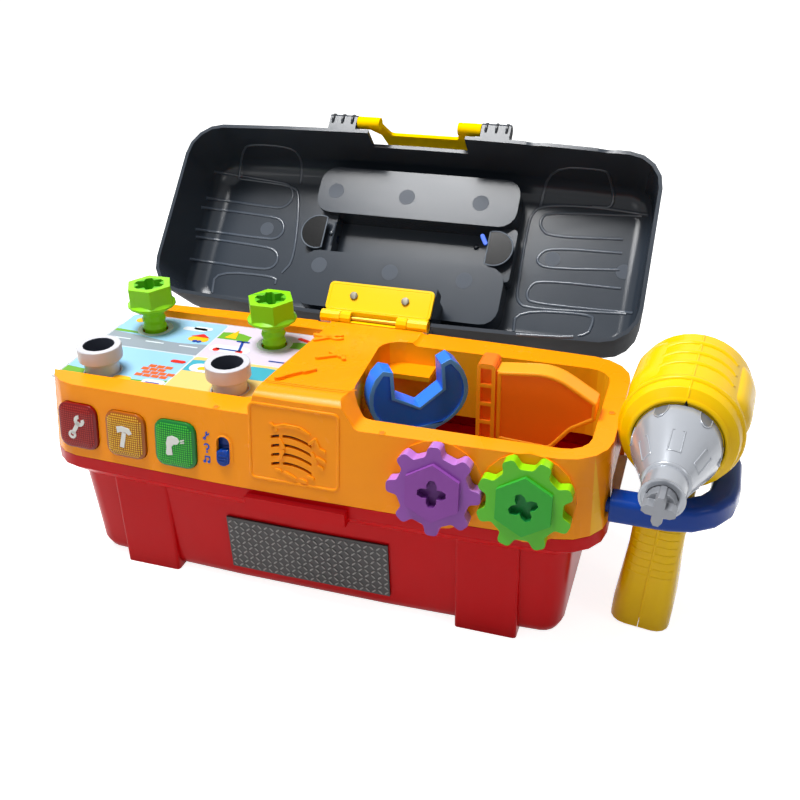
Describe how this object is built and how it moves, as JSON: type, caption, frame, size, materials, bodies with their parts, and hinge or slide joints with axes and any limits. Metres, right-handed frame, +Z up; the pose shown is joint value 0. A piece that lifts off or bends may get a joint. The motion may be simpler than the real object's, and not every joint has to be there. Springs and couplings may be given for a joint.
{
  "type": "toy tool set",
  "caption": "Pretend-play tool box with a hinged lid, a picture board of big screws and pegs, meshing gears, push buttons, a wrench, a hammer and a drill in a loop",
  "frame": {"origin": "on the table, in the middle of the small round pad under the middle of the tub", "axes": "X runs along the box to the drill's end, -Y is the front with the buttons and gears, +Y is the hinge side, Z is up"},
  "size_m": [0.3995, 0.314, 0.23],
  "materials": {
    "tub_red": "semi-gloss moulded",
    "tray_orange": "semi-gloss moulded",
    "lid_grey": "semi-gloss moulded",
    "bright_yellow": "semi-gloss moulded",
    "tool_blue": "semi-gloss moulded",
    "hammer_orange": "semi-gloss moulded",
    "gear_purple": "semi-gloss moulded",
    "gear_green": "semi-gloss moulded",
    "screw_green": "satin",
    "peg_grey": "satin",
    "dark_plastic": "satin",
    "plate_grey": "semi-gloss moulded",
    "card_print": "printed",
    "button_red": "semi-gloss moulded",
    "button_amber": "semi-gloss moulded",
    "button_green": "semi-gloss moulded",
    "steel": "zinc plated",
    "chuck_silver": "semi-gloss moulded",
    "board_green": "matt",
    "cell_black": "satin"
  },
  "bodies": {
    "case": {"tub": "tub_red", "battery_door": "tub_red", "battery_door_screw": "steel", "battery_front": "cell_black", "battery_middle": "cell_black", "battery_rear": "cell_black", "case_screw_left_front": "steel", "case_screw_left_rear": "steel", "case_screw_right_front": "steel", "case_screw_right_rear": "steel", "label_plate": "plate_grey", "tray": "tray_orange", "picture_card": "card_print", "red_lamp": "button_red", "amber_lamp": "button_amber", "green_lamp": "button_green", "button_board": "board_green", "mode_switch": "dark_plastic", "speaker": "dark_plastic", "purple_gear_axle": "steel", "green_gear_axle": "steel", "drill_holder": "tool_blue", "hinge_bracket": "bright_yellow", "hinge_pin": "steel"},
    "lid": {"lid_shell": "lid_grey", "hinge_leaf": "bright_yellow", "hinge_screw_left": "steel", "hinge_screw_right": "steel", "latch_pin_left": "steel", "latch_pin_right": "steel"},
    "latch": {"latch": "bright_yellow"},
    "handle": {"carry_handle": "tool_blue"},
    "red_button": {"red_button": "button_red"},
    "amber_button": {"amber_button": "button_amber"},
    "green_button": {"green_button": "button_green"},
    "mode_slider": {"mode_slider": "tool_blue"},
    "purple_gear": {"purple_gear": "gear_purple"},
    "green_gear": {"green_gear": "gear_green"},
    "screw_left": {"screw_left": "screw_green"},
    "screw_right": {"screw_right": "screw_green"},
    "peg_left": {"peg_left": "peg_grey"},
    "peg_right": {"peg_right": "peg_grey"},
    "spare_card": {"spare_card": "card_print"},
    "wrench": {"wrench": "tool_blue"},
    "hammer": {"hammer_head": "hammer_orange", "hammer_grip": "bright_yellow"},
    "drill": {"drill_shell_left": "bright_yellow", "drill_shell_right": "bright_yellow", "drill_end_cap": "dark_plastic", "drill_gearbox": "dark_plastic", "drill_motor": "steel", "drill_switch": "dark_plastic", "drill_cell": "cell_black"},
    "chuck": {"drill_chuck": "chuck_silver", "driver_bit": "chuck_silver", "drill_spindle": "steel"},
    "drill_trigger": {"drill_trigger": "hammer_orange"}
  },
  "joints": [
    {"name": "lid_hinge", "type": "hinge", "parent": "case", "child": "lid", "pos_m": [0, 0.0675, 0.1257], "axis": [-1, 0, 0], "range_deg": [-134.2, 0]},
    {"name": "latch_swing", "type": "hinge", "parent": "lid", "child": "latch", "pos_m": [0, 0.16837, 0.22541], "axis": [-1, 0, 0], "range_deg": [-173, 0]},
    {"name": "handle_swing", "type": "hinge", "parent": "lid", "child": "handle", "pos_m": [0, 0.14817, 0.14698], "axis": [1, 0, 0], "range_deg": [0, 135]},
    {"name": "red_button_press", "type": "slide", "parent": "case", "child": "red_button", "axis": [0.0441, 0.9887, -0.143], "range_m": [0, 0.003], "stiffness_N_per_m": 200},
    {"name": "amber_button_press", "type": "slide", "parent": "case", "child": "amber_button", "axis": [0.0337, 0.9892, -0.143], "range_m": [0, 0.003], "stiffness_N_per_m": 200},
    {"name": "green_button_press", "type": "slide", "parent": "case", "child": "green_button", "axis": [0.0234, 0.9895, -0.143], "range_m": [0, 0.003], "stiffness_N_per_m": 200},
    {"name": "mode_slide", "type": "slide", "parent": "case", "child": "mode_slider", "axis": [0.002, 0.1429, 0.9897], "range_m": [0, 0.008]},
    {"name": "purple_gear_spin", "type": "hinge", "parent": "case", "child": "purple_gear", "pos_m": [0.08001, -0.0635, 0.0992], "axis": [0.0329, -0.9892, 0.143], "continuous": true},
    {"name": "green_gear_spin", "type": "hinge", "parent": "case", "child": "green_gear", "pos_m": [0.12759, -0.06192, 0.0992], "axis": [0.0329, -0.9892, 0.143], "continuous": true},
    {"name": "screw_left_turn", "type": "hinge", "parent": "case", "child": "screw_left", "pos_m": [-0.14, 0.033, 0.118], "axis": [0, 0, 1], "continuous": true},
    {"name": "peg_left_press", "type": "slide", "parent": "case", "child": "peg_left", "axis": [0, 0, 1], "range_m": [-0.004, 0]},
    {"name": "screw_right_turn", "type": "hinge", "parent": "case", "child": "screw_right", "pos_m": [-0.055, 0.033, 0.118], "axis": [0, 0, 1], "continuous": true},
    {"name": "peg_right_press", "type": "slide", "parent": "case", "child": "peg_right", "axis": [0, 0, 1], "range_m": [-0.004, 0]},
    {"name": "spare_card_pull", "type": "slide", "parent": "case", "child": "spare_card", "axis": [1, 0, 0], "range_m": [0, 0.006]},
    {"name": "wrench_lift", "type": "slide", "parent": "case", "child": "wrench", "axis": [0, 0, 1], "range_m": [0, 0.12]},
    {"name": "hammer_lift", "type": "slide", "parent": "case", "child": "hammer", "axis": [0, 0, 1], "range_m": [0, 0.12]},
    {"name": "drill_lift", "type": "slide", "parent": "case", "child": "drill", "axis": [0, 0, 1], "range_m": [0, 0.1]},
    {"name": "chuck_spin", "type": "hinge", "parent": "drill", "child": "chuck", "pos_m": [0.199, 0, 0.1281], "axis": [-0.0523, -0.9986, 0], "continuous": true},
    {"name": "trigger_press", "type": "slide", "parent": "drill", "child": "drill_trigger", "axis": [0.0523, 0.9986, 0], "range_m": [0, 0.003], "stiffness_N_per_m": 200}
  ],
  "couplings": [
    {"joint": "green_gear_spin", "follows": "purple_gear_spin", "ratio": -1}
  ]
}
